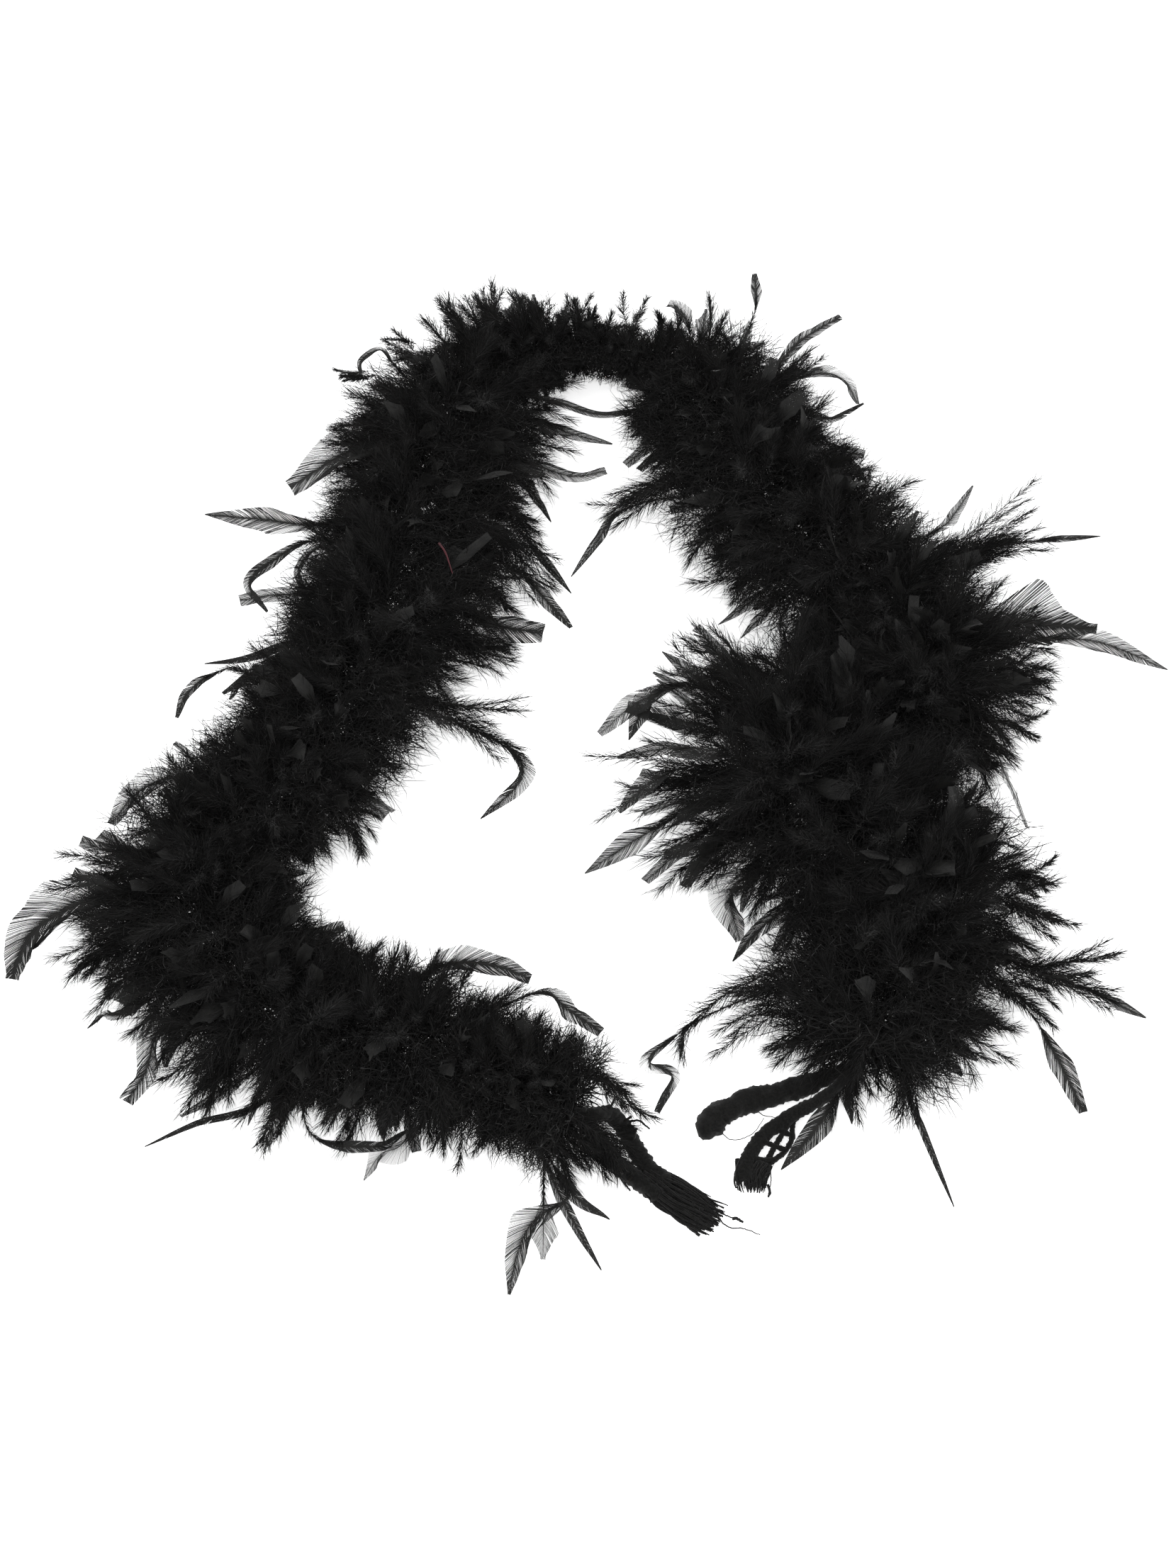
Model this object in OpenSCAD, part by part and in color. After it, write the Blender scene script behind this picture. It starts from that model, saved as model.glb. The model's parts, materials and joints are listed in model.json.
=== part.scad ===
// Feather boa lying in an open horseshoe on a flat surface.
// Two feather strings run side by side from end to end. Bunches of flats stand round
// them, long loose plumes stick out, and bare string tails lie free at both ends.
// Units are millimetres. +Z is up and the surface is z = 0. The boa's middle, the crown,
// is at the far side (+Y) and both ends are at the near side (-Y).

/* [Strings] */
// Diameter of each feather string
string_d = 5; // [3:0.5:5]
// Height of the pair of strings above the surface
string_z = 34; // [30:1:38]
// Diameter of the chain-stitch thread
thread_d = 1; // [0.6:0.1:1.2]

/* [Feathers] */
// Size of every bunch, as a share of its usual radius
fullness = 1; // [0.85:0.05:1.05]
// Feathers drawn in each bunch
feather_count = 22; // [14:2:26]
// Widest part of one feather
feather_w = 15; // [10:1:18]
// Thickness of one feather
feather_t = 1.2; // [0.8:0.1:1.6]
// How far each feather is turned about its own quill, in degrees
feather_twist = 30; // [0:5:45]
// Wall of the sleeve of lapped quill butts stitched round the strings
butt_wall = 2; // [1.5:0.25:2.5]

/* [Joints] */
// How far each hinge opens, in degrees
open_angle = 35; // [10:5:35]

/* [Hidden] */
BLACK = [0.09, 0.09, 0.09];
VANE = [0.22, 0.22, 0.22];
COTTON = [0.14, 0.13, 0.12];

// The ends of the bunches, from the left tail round the crown to the right tail
stations = [
    [-25, -300], [-110, -255], [-215, -232], [-285, -130], [-205, -45], [-168, 65],
    [-142, 180], [-115, 285], [-40, 338], [60, 312], [100, 215], [182, 112],
    [232, 15], [105, -50], [212, -150], [150, -262]
];
// Radius of each bunch
radii = [54, 60, 72, 58, 62, 74, 66, 60, 38, 68, 76, 78, 76, 76, 74];
// The stations that are hinges
hinges = [3, 5, 7, 9, 12, 14];
// Bodies between hinges, each with the stations where it begins and ends
crown = [7, 9];
left_upper = [5, 7];
left_middle = [3, 5];
left_lower = [0, 3];
right_upper = [9, 12];
right_middle = [12, 14];
right_lower = [14, 15];

// Routes of the bare tails: x, y, z of the middle of the string
left_tail_a_route = [
    [-27, -299, 37], [-14, -300, 35], [-5, -296, 26], [3, -299, 15], [10, -309, 9],
    [16, -319, 7], [24, -328, 6], [34, -335, 6]
];
left_tail_b_route = [
    [-27, -299, 31], [-16, -306, 25], [-8, -316, 14], [1, -323, 8], [10, -329, 6],
    [19, -336, 6], [29, -344, 6]
];
left_brush_route = [[28, -337, 6], [42, -346, 6], [52, -352, 5], [60, -356, 5]];
right_fold_route = [
    [151, -260, 31], [138, -267, 24], [124, -270, 15], [110, -272, 9], [97, -276, 8],
    [84, -279, 8], [73, -284, 8], [62, -290, 8], [57, -300, 8]
];
right_strand_route = [
    [151, -260, 37], [139, -276, 30], [126, -284, 20], [113, -289, 11], [100, -297, 6],
    [91, -306, 5], [85, -315, 5], [82, -324, 5], [82, -333, 5]
];
// Half width and half height of each tail at its route's points
left_tail_a_size = [
    [2.4, 2.4], [3, 3], [4.5, 4.5], [5.5, 5.5], [5.5, 5.5], [5, 5], [5, 5], [5, 5]
];
left_tail_b_size = [[2.4, 2.4], [3, 3], [5, 5], [5.5, 5.5], [5, 5], [5, 5], [5, 5]];
left_brush_size = [[9, 4.5], [10.5, 4.5], [11, 4], [9, 2.5]];
right_fold_size = [
    [2.4, 2.4], [4, 3.5], [7, 6], [8, 7], [8, 6.5], [8, 6.5], [8.5, 6.5], [9, 6.5], [7, 5]
];
right_strand_size = [
    [2.4, 2.4], [3, 3], [4, 4], [5, 4.5], [7, 4.5], [8.5, 4], [9, 4], [9, 4], [8, 3]
];

// Long loose plumes: name, root, tip, width, share of the length that is bare shaft,
// and how blunt the tip is from 0, a point, to 1, cut square
plumes = [
    ["left_lance", [-151, 165, 35], [-293, 164, 40], 24, 0.35, 0.15],
    ["left_broad", [-142, 200, 37], [-224, 194, 42], 30, 0.3, 0.7],
    ["far_left_hook", [-269, -164, 35], [-385, -203, 28], 30, 0.3, 0.5],
    ["bottom_curl", [-80, -277, 35], [-66, -404, 12], 20, 0.45, 0.4],
    ["bottom_point", [-62, -287, 35], [-10, -390, 10], 10, 0.3, 0.1],
    ["right_tip", [212, 66, 35], [385, 34, 30], 22, 0.4, 0.05],
    ["right_thin", [195, 100, 35], [351, 144, 40], 12, 0.35, 0.05],
    ["right_lower_spray", [208, -170, 35], [332, -236, 24], 20, 0.3, 0.1],
    ["club", [195, -192, 35], [290, -297, 16], 20, 0.5, 0.5],
    ["long_shaft", [171, -237, 35], [203, -353, 12], 8, 0.2, 0.05],
    ["inner_pointed", [122, -74, 35], [-18, -128, 24], 22, 0.45, 0.05],
    ["inner_square", [121, -35, 35], [-10, -18, 30], 24, 0.45, 0.5],
    ["inner_upper", [120, 180, 34], [-25, 118, 26], 16, 0.3, 0.05],
    ["inner_grey", [-123, 231, 35], [-7, 212, 34], 16, 0.4, 0.6],
    ["inner_hook", [-179, 14, 35], [-51, -60, 26], 18, 0.35, 0.3],
    ["top_wisp", [77, 285, 37], [110, 397, 60], 16, 0.5, 0.4],
    ["top_right_prong", [89, 256, 36], [176, 352, 50], 14, 0.3, 0.4]
];
plume_t = 1;
shaft_w = 2.4;

// Quill stubs on the left tail: root, direction and tilt in degrees, and length
stubs = [
    [[-5, -296, 31], 60, 35, 9], [[3, -299, 19], 20, 40, 8], [[10, -309, 13], 75, 30, 9],
    [[-8, -316, 17], 260, 25, 9], [[1, -323, 11], 285, 20, 8], [[10, -329, 9], 240, 35, 9]
];
stub_d = 1.6;

// Clearances: strings short of a hinge, and bunches either side of a station
hinge_gap = 3;
bunch_gap = 0.5;
end_gap = 6;
golden = 137.5;
far = 400;

bunches = len(radii);
bodies = [
    ["crown", crown], ["left_upper", left_upper], ["left_middle", left_middle],
    ["left_lower", left_lower], ["right_upper", right_upper],
    ["right_middle", right_middle], ["right_lower", right_lower]
];
// The strings press on each other, the sleeve grips both, and the thread lies in their groove
ply_z = string_d / 2 - 0.05;
bore_r = string_d - 0.1;
sleeve_r = bore_r + butt_wall;
thread_side = string_d * 0.24;

function bunch_name(k) = str("feathers_", k < 10 ? "0" : "", k);
function unit(v) = v / norm(v);
function heading(k) = atan2(stations[k].y - stations[k - 1].y, stations[k].x - stations[k - 1].x);
function chord(k) = norm(stations[k] - stations[k - 1]);
function wrap(a) = a > 180 ? a - 360 : a < -180 ? a + 360 : a;
function turn(j) = j == 0 || j == bunches ? 0 : wrap(heading(j + 1) - heading(j));
function is_hinge(j) = len(search(j, hinges)) > 0;

// A point beside station j, on the mitre between its two bunches
function beside(j, side) =
    let (a = j == 0 ? heading(1) : heading(j) + turn(j) / 2, off = side / cos(turn(j) / 2))
    [stations[j].x - off * sin(a), stations[j].y + off * cos(a)];

// A run's points from station i to station j, stopping short of hinges
function run_points(i, j, side, z) =
    let (
        a = beside(i, side),
        b = beside(j, side),
        ua = unit(beside(i + 1, side) - a),
        ub = unit(b - beside(j - 1, side)),
        start = a + ua * (is_hinge(i) ? hinge_gap : 0),
        stop = b - ub * (is_hinge(j) ? hinge_gap : 0)
    )
    concat(
        [[start.x, start.y, z]],
        [for (k = [i + 1 : 1 : j - 1]) [beside(k, side).x, beside(k, side).y, z]],
        [[stop.x, stop.y, z]]
    );

function tangent(p, i) =
    unit(unit(p[min(i + 1, len(p) - 1)] - p[max(i - 1, 0)]));

function ring(p, i, size, sides) =
    let (t = tangent(p, i), side = unit(cross(t, [0, 0, 1])), up = cross(side, t))
    [for (k = [0 : sides - 1]) p[i] + side * size.x * cos(360 * k / sides)
        + up * size.y * sin(360 * k / sides)];

// A closed tube with an oval section through the points
module tube(points, sizes, sides = 8) {
    n = len(points);
    verts = [for (i = [0 : n - 1]) each ring(points, i, sizes[i], sides)];
    walls = [for (i = [0 : n - 2], k = [0 : sides - 1])
        [i * sides + k, i * sides + (k + 1) % sides,
         (i + 1) * sides + (k + 1) % sides, (i + 1) * sides + k]];
    caps = [[for (k = [0 : sides - 1]) sides - 1 - k], [for (k = [0 : sides - 1]) (n - 1) * sides + k]];
    polyhedron(verts, concat(walls, caps), convexity = 4);
}

module run(span, side, z, r) {
    points = run_points(span[0], span[1], side, z);
    tube(points, [for (p = points) [r, r]]);
}

module string_a(span) {
    color(COTTON) run(span, 0, string_z + ply_z, string_d / 2);
}

module string_b(span) {
    color(COTTON) run(span, 0, string_z - ply_z, string_d / 2);
}

module stitch_thread(span) {
    color(COTTON) run(span, thread_side, string_z, thread_d / 2);
}

// Outline of one flat: bare quill, widening vane and a pointed or a square-cut tip
module flat_outline(reach, width, bare, blunt, quill_w) {
    tip_w = max(0.8, blunt * width * 0.8);
    polygon([
        [0, -quill_w / 2], [reach * bare, -quill_w / 2], [reach * (bare + 0.25), -width / 2],
        [reach * 0.85, -width * 0.4], [reach, -tip_w / 2], [reach, tip_w / 2],
        [reach * 0.8, width * 0.45], [reach * (bare + 0.2), width / 2],
        [reach * bare, quill_w / 2], [0, quill_w / 2]
    ]);
}

// How far round from the chord a bunch may reach on one side of a station, in degrees
function room(j, side) =
    let (opening = side > 0 && is_hinge(j) ? open_angle : 0)
    min(90, 90 - (side * turn(j) + opening) / 2);

// Cuts away what would pass station j, for the bunch that lies along angle back from it.
// way is 1 where the bunch ends at the station and -1 where it begins there.
module beyond(j, back, way) {
    left = back - way * room(j, 1);
    right = back + way * room(j, -1);
    point = [cos(back), sin(back)] * (is_hinge(j) ? 2 * bunch_gap : bunch_gap);
    translate([stations[j].x + point.x, stations[j].y + point.y, -far / 2])
        linear_extrude(far)
            polygon([
                [0, 0], far * [cos(left), sin(left)],
                far * [cos(left) - cos(back), sin(left) - sin(back)] * 1.5,
                far * [cos(right) - cos(back), sin(right) - sin(back)] * 1.5,
                far * [cos(right), sin(right)]
            ]);
}

// Feathers of one bunch, standing round the strings at even steps
module bunch(k) {
    reach = radii[k - 1] * fullness;
    length = chord(k);
    step = (length - 2 * end_gap) / (feather_count - 1);
    color(BLACK) difference() {
        translate([stations[k - 1].x, stations[k - 1].y, string_z]) rotate([0, 0, heading(k)]) {
            rotate([0, 90, 0]) cylinder(h = length, r = sleeve_r, $fn = 48);
            for (i = [0 : feather_count - 1])
                translate([end_gap + i * step, 0, 0])
                    rotate([-90 + (i - feather_count / 2) * golden, 0, 0])
                        translate([0, bore_r + butt_wall / 2, 0])
                            rotate([0, feather_twist - 90, 0]) rotate([0, 0, 90])
                                translate([0, 0, -feather_t / 2]) linear_extrude(feather_t)
                                    flat_outline(reach - bore_r - butt_wall / 2, feather_w,
                                        0.3, i % 3 == 0 ? 0.6 : 0.1, shaft_w);
        }
        translate([stations[k - 1].x, stations[k - 1].y, string_z]) rotate([0, 90, heading(k)])
            translate([0, 0, -far / 2]) cylinder(h = far + length, r = bore_r, $fn = 48);
        beyond(k - 1, heading(k), -1);
        beyond(k, heading(k) + 180, 1);
        translate([-far * 2, -far * 2, -far]) cube([far * 4, far * 4, far]);
    }
}

// One long plume from its root to its tip
module plume(p) {
    d = p[2] - p[1];
    flat_length = norm([d.x, d.y]);
    color(VANE) translate(p[1]) rotate([0, -atan2(d.z, flat_length), atan2(d.y, d.x)])
        translate([0, 0, -plume_t / 2]) linear_extrude(plume_t)
            flat_outline(norm(d), p[3], p[4], p[5], shaft_w);
}

module left_tail_strand_a() {
    color(COTTON) tube(left_tail_a_route, left_tail_a_size, 10);
}

module left_tail_strand_b() {
    color(COTTON) tube(left_tail_b_route, left_tail_b_size, 10);
}

module left_tail_brush() {
    color(COTTON) tube(left_brush_route, left_brush_size, 12);
}

module left_quill_stubs() {
    color(BLACK) for (s = stubs)
        translate(s[0]) rotate([0, 90 - s[2], s[1]]) cylinder(h = s[3], d = stub_d, $fn = 24);
}

module right_tail_fold() {
    color(COTTON) tube(right_fold_route, right_fold_size, 12);
}

module right_tail_strand() {
    color(COTTON) tube(right_strand_route, right_strand_size, 12);
}

for (b = bodies) {
    string_a(b[1]);
    string_b(b[1]);
    stitch_thread(b[1]);
}
for (k = [1 : bunches])
    bunch(k);
left_tail_strand_a();
left_tail_strand_b();
left_tail_brush();
left_quill_stubs();
right_tail_fold();
right_tail_strand();
for (p = plumes)
    plume(p);
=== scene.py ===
"""A black feather boa lying in an open horseshoe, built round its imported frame."""
import json
import math

import bpy
import numpy as np
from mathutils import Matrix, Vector

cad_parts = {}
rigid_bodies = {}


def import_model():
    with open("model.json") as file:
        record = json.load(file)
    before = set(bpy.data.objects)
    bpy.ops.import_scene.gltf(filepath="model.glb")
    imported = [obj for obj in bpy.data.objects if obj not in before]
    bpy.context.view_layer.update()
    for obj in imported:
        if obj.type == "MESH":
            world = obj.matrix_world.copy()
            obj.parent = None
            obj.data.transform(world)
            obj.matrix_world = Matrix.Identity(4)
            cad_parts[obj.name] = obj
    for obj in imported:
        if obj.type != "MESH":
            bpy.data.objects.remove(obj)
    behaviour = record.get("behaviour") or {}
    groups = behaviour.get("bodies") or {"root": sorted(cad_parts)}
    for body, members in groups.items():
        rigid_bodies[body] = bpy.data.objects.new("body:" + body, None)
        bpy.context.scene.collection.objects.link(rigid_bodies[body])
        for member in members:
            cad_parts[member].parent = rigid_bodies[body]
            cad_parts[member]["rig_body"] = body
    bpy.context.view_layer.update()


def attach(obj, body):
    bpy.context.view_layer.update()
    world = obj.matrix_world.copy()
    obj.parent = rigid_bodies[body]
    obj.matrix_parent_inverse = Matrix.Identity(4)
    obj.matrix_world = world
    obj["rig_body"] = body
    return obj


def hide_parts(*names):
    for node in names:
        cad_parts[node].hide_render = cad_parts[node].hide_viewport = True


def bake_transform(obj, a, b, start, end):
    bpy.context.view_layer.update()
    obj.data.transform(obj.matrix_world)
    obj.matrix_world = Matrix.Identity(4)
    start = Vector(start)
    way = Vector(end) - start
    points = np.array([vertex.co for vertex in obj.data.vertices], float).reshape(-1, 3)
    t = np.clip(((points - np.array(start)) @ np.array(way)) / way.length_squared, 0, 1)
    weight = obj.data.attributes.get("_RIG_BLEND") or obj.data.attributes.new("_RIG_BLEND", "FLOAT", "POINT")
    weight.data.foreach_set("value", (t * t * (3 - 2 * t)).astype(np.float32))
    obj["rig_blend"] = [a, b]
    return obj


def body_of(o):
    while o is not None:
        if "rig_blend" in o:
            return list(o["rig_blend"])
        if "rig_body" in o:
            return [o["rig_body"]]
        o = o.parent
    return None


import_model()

MM = 0.001
UP = np.array([0.0, 0.0, 1.0])
STRING_Z = 34 * MM
FLOOR_GAP = 0.6 * MM
CAMERA_TILT = math.radians(58)
CAMERA_DISTANCE = 1.5
# Feathers lean towards the middle of their clump, and each clump on each side grows differently
CLUMP = 26 * MM
CLUMP_PULL = 60 * MM
CLUMP_RNG = np.random.default_rng(77)
# Near the boa's two ends, feathers lean out past the end of the strings and are shorter
END_LEAN = 0.7
END_REACH = 30 * MM
END_SHORTER = 0.3
# The share of feathers with a vane, and the barbs of soft feathers, feet, tufts and filling
VANED = 0.38
SOFT_BARBS, FOOT_BARBS, TUFT_BARBS, FILLING_BARBS = 300, 190, 190, 8500
# The highest that a feather stands above the strings, and the turn from one to the next
TALLEST = 64 * MM
GOLDEN_ANGLE = 2.39996
# The strings' half thickness, their distance from the middle line, and the turns round it
STRING_HALF = 2.4 * MM
STRING_OFF = 2.45 * MM
STRING_PITCH = 60 * MM
THREAD_OFF = 5.3 * MM
THREAD_PITCH = 6.5 * MM

# The ends of the bunches, from the left tail round the crown to the right tail, in mm
STATIONS = np.array([
    [-25, -300], [-110, -255], [-215, -232], [-285, -130], [-205, -45], [-168, 65],
    [-142, 180], [-115, 285], [-40, 338], [60, 312], [100, 215], [182, 112],
    [232, 15], [105, -50], [212, -150], [150, -262],
], float)
# How far each bunch reaches towards the outside and towards the inside of the horseshoe
REACHES = [
    [46, 54], [60, 62], [82, 62], [76, 60], [74, 70], [74, 102], [82, 86], [62, 26], [34, 18],
    [78, 74], [74, 98], [80, 70], [76, 114], [104, 98], [66, 98],
]
BODIES = {
    "left_lower": (0, 3), "left_middle": (3, 5), "left_upper": (5, 7), "crown": (7, 9),
    "right_upper": (9, 12), "right_middle": (12, 14), "right_lower": (14, 15),
}
BODY_OF = {k: body for body, (a, b) in BODIES.items() for k in range(a + 1, b + 1)}


# ---------------------------------------------------------------- camera, floor, light

def make_camera():
    """The camera stands at the near side and looks down at the middle of the boa."""
    target = Vector((-0.018, -0.040, 0))
    data = bpy.data.cameras.new("camera")
    data.lens = 50
    data.sensor_fit = "VERTICAL"
    data.sensor_height = 36
    data.clip_end = 20
    camera = bpy.data.objects.new("camera", data)
    away = Vector((0, -math.cos(CAMERA_TILT), math.sin(CAMERA_TILT)))
    camera.location = target + CAMERA_DISTANCE * away
    camera.rotation_euler = (math.pi / 2 - CAMERA_TILT, 0, 0)
    bpy.context.scene.collection.objects.link(camera)
    bpy.context.scene.camera = camera


def make_light(name, location, size, power):
    """A square lamp that faces the middle of the surface."""
    data = bpy.data.lights.new(name, "AREA")
    data.size = size
    data.energy = power
    light = bpy.data.objects.new(name, data)
    light.location = location
    light.rotation_euler = Vector(location).to_track_quat("Z", "Y").to_euler()
    bpy.context.scene.collection.objects.link(light)


def make_studio():
    """A pale surface under a white sky with two soft lamps."""
    floor = new_mesh("floor", [[-3, -3, 0], [3, -3, 0], [3, 3, 0], [-3, 3, 0]], quads=[[0, 1, 2, 3]])
    floor.data.materials.append(floor_material())
    world = bpy.data.worlds.new("studio")
    world.use_nodes = True
    world.node_tree.nodes["Background"].inputs["Color"].default_value = (1, 1, 1, 1)
    world.node_tree.nodes["Background"].inputs["Strength"].default_value = 1.0
    bpy.context.scene.world = world
    make_light("key", (-0.9, -0.9, 1.8), 1.6, 14)
    make_light("fill", (1.2, 0.6, 1.6), 1.6, 8)
    bpy.context.scene.view_settings.view_transform = "Standard"


# ---------------------------------------------------------------- materials

def new_material(name, **sockets):
    """A node material with these values on its shader's own sockets."""
    material = bpy.data.materials.new(name)
    material.use_nodes = True
    shader = material.node_tree.nodes["Principled BSDF"]
    for key, value in sockets.items():
        shader.inputs[key.replace("_", " ")].default_value = value
    return material, material.node_tree, shader


def mottle(tree, shader, scale, dark, light, detail=3.0, stretch=(1, 1, 1)):
    """Base colour that varies between two tones, in the object's own space."""
    coords = tree.nodes.new("ShaderNodeTexCoord")
    mapping = tree.nodes.new("ShaderNodeMapping")
    mapping.inputs["Scale"].default_value = stretch
    noise = tree.nodes.new("ShaderNodeTexNoise")
    noise.inputs["Scale"].default_value = scale
    noise.inputs["Detail"].default_value = detail
    ramp = tree.nodes.new("ShaderNodeValToRGB")
    ramp.color_ramp.elements[0].position = 0.35
    ramp.color_ramp.elements[1].position = 0.68
    ramp.color_ramp.elements[0].color = (*dark, 1)
    ramp.color_ramp.elements[1].color = (*light, 1)
    tree.links.new(coords.outputs["Object"], mapping.inputs["Vector"])
    tree.links.new(mapping.outputs["Vector"], noise.inputs["Vector"])
    tree.links.new(noise.outputs["Fac"], ramp.inputs["Fac"])
    tree.links.new(ramp.outputs["Color"], shader.inputs["Base Color"])
    return noise, ramp


def add_bump(tree, shader, noise, strength, distance):
    bump = tree.nodes.new("ShaderNodeBump")
    bump.inputs["Strength"].default_value = strength
    bump.inputs["Distance"].default_value = distance
    tree.links.new(noise.outputs["Fac"], bump.inputs["Height"])
    tree.links.new(bump.outputs["Normal"], shader.inputs["Normal"])


def floor_material():
    material, tree, shader = new_material(
        "paper", Roughness=0.9, Specular_IOR_Level=0.1, Emission_Strength=0.7,
        Emission_Color=(1, 1, 1, 1),
    )
    mottle(tree, shader, 3.0, (0.90, 0.90, 0.90), (0.93, 0.93, 0.93))
    return material


def down_material():
    """Dyed down: nearly black, softly mottled, with a little sheen on the fine barbs."""
    material, tree, shader = new_material(
        "dyed_down", Roughness=0.85, Specular_IOR_Level=0.12, Sheen_Weight=0.08,
        Sheen_Roughness=0.5,
    )
    mottle(tree, shader, 38.0, (0.0015, 0.0015, 0.0015), (0.0085, 0.0082, 0.0078))
    return material


def vane_material():
    """Dyed vane: dark grey with streaks along the barbs and a satin face."""
    material, tree, shader = new_material(
        "dyed_vane", Roughness=0.55, Specular_IOR_Level=0.25, Sheen_Weight=0.06,
        Sheen_Roughness=0.4,
    )
    mottle(tree, shader, 160.0, (0.003, 0.003, 0.0028), (0.011, 0.011, 0.0102))
    return material


def quill_material():
    material, tree, shader = new_material(
        "dyed_quill", Roughness=0.45, Specular_IOR_Level=0.2, Coat_Weight=0.02,
    )
    mottle(tree, shader, 90.0, (0.004, 0.0036, 0.0033), (0.015, 0.013, 0.011))
    return material


def red_quill_material():
    material, tree, shader = new_material("red_quill", Roughness=0.4, Specular_IOR_Level=0.3)
    mottle(tree, shader, 200.0, (0.03, 0.003, 0.006), (0.07, 0.007, 0.012))
    return material


def cotton_material():
    """Black twisted cotton with grey lint in its grooves."""
    material, tree, shader = new_material(
        "black_cotton", Roughness=0.95, Specular_IOR_Level=0.1, Sheen_Weight=0.1,
        Sheen_Roughness=0.6,
    )
    noise, _ = mottle(tree, shader, 700.0, (0.0015, 0.0015, 0.0014), (0.007, 0.0068, 0.0063))
    add_bump(tree, shader, noise, 0.6, 0.0004)
    return material


def thread_material():
    material, tree, shader = new_material("black_thread", Roughness=0.7, Specular_IOR_Level=0.3)
    mottle(tree, shader, 1200.0, (0.002, 0.002, 0.002), (0.009, 0.009, 0.009))
    return material


# ---------------------------------------------------------------- meshes

def new_mesh(name, points, quads=(), tris=()):
    """A mesh object from arrays of points, four-sided faces and three-sided faces."""
    points = np.asarray(points, float).reshape(-1, 3)
    quads = np.asarray(quads, int).reshape(-1, 4)
    tris = np.asarray(tris, int).reshape(-1, 3)
    mesh = bpy.data.meshes.new(name)
    mesh.vertices.add(len(points))
    mesh.vertices.foreach_set("co", points.astype(np.float32).ravel())
    corners = np.concatenate([quads.ravel(), tris.ravel()])
    mesh.loops.add(len(corners))
    mesh.loops.foreach_set("vertex_index", corners)
    starts = np.concatenate([np.arange(len(quads)) * 4, len(quads) * 4 + np.arange(len(tris)) * 3])
    mesh.polygons.add(len(starts))
    mesh.polygons.foreach_set("loop_start", starts)
    mesh.update(calc_edges=True)
    thing = bpy.data.objects.new(name, mesh)
    bpy.context.scene.collection.objects.link(thing)
    return thing


class Heap:
    """Gathers many small pieces of mesh, each with the number of its material."""

    def __init__(self):
        self.points, self.quads, self.tris = [], [], []
        self.quad_kinds, self.tri_kinds = [], []
        self.count = 0

    def add(self, points, quads, tris, kind=0):
        self.points.append(points.reshape(-1, 3))
        self.quads.append(quads.reshape(-1, 4) + self.count)
        self.tris.append(tris.reshape(-1, 3) + self.count)
        self.quad_kinds.append(np.full(len(self.quads[-1]), kind))
        self.tri_kinds.append(np.full(len(self.tris[-1]), kind))
        self.count += len(self.points[-1])

    def build(self, name, materials):
        thing = new_mesh(
            name, np.concatenate(self.points), np.concatenate(self.quads), np.concatenate(self.tris)
        )
        for material in materials:
            thing.data.materials.append(material)
        kinds = np.concatenate(self.quad_kinds + self.tri_kinds)
        thing.data.polygons.foreach_set("material_index", kinds.astype(np.int32))
        return thing


def unit(v):
    return v / np.maximum(np.linalg.norm(v, axis=-1, keepdims=True), 1e-12)


def rest_on_floor(points, soft=5 * MM, lowest=FLOOR_GAP):
    """What would pass into the floor is pressed flat just above it."""
    z = points[..., 2]
    room = soft - lowest
    points[..., 2] = np.where(z < soft, lowest + room * np.exp(np.minimum(z - soft, 0) / room), z)
    return points


def add_ribbons(heap, lines, sides, halves, pointed, kind=0):
    """Flat strips along lines (m, q, 3), each widened by halves (m, q) along sides."""
    m, q, _ = lines.shape
    wide = sides * halves[..., None]
    left, right = lines - wide, lines + wide
    full = q - 1 if pointed else q
    pairs = np.stack([left[:, :full], right[:, :full]], 2).reshape(m, 2 * full, 3)
    points = np.concatenate([pairs, lines[:, -1:]], 1) if pointed else pairs
    per = points.shape[1]
    base = np.arange(m)[:, None] * per
    step = np.arange(full - 1)[None, :] * 2
    first = base + step
    quads = np.stack([first, first + 1, first + 3, first + 2], -1)
    tris = np.zeros((0, 3), int)
    if pointed:
        tip = base[:, 0] + per - 1
        tris = np.stack([tip - 2, tip - 1, tip], -1)
    heap.add(points, quads, tris, kind)


def add_tubes(heap, lines, radii, sides=4, kind=0):
    """Closed tubes along lines (m, q, 3) with radii (m, q), ending in a point."""
    m, q, _ = lines.shape
    along = unit(np.gradient(lines, axis=1))
    guide = np.where(np.abs(along[..., 2:3]) > 0.9, [1.0, 0, 0], UP)
    across = unit(np.cross(along, guide))
    up = np.cross(across, along)
    turns = np.arange(sides) * 2 * math.pi / sides
    rings = (
        across[:, :, None] * np.cos(turns)[:, None] + up[:, :, None] * np.sin(turns)[:, None]
    ) * radii[:, :, None, None] + lines[:, :, None]
    points = rings.reshape(m, q * sides, 3)
    base = (np.arange(m) * q * sides)[:, None, None]
    ring = (np.arange(q - 1) * sides)[None, :, None]
    here = np.arange(sides)[None, None, :]
    after = (np.arange(sides) + 1)[None, None, :] % sides
    quads = np.stack(
        [base + ring + here, base + ring + after, base + ring + sides + after,
         base + ring + sides + here], -1
    )
    caps = []
    for k in range(1, sides - 1):
        first = np.arange(m) * q * sides
        last = first + (q - 1) * sides
        caps.append(np.stack([first, first + k + 1, first + k], -1))
        caps.append(np.stack([last, last + k, last + k + 1], -1))
    heap.add(points, quads, np.concatenate(caps), kind)


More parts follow.
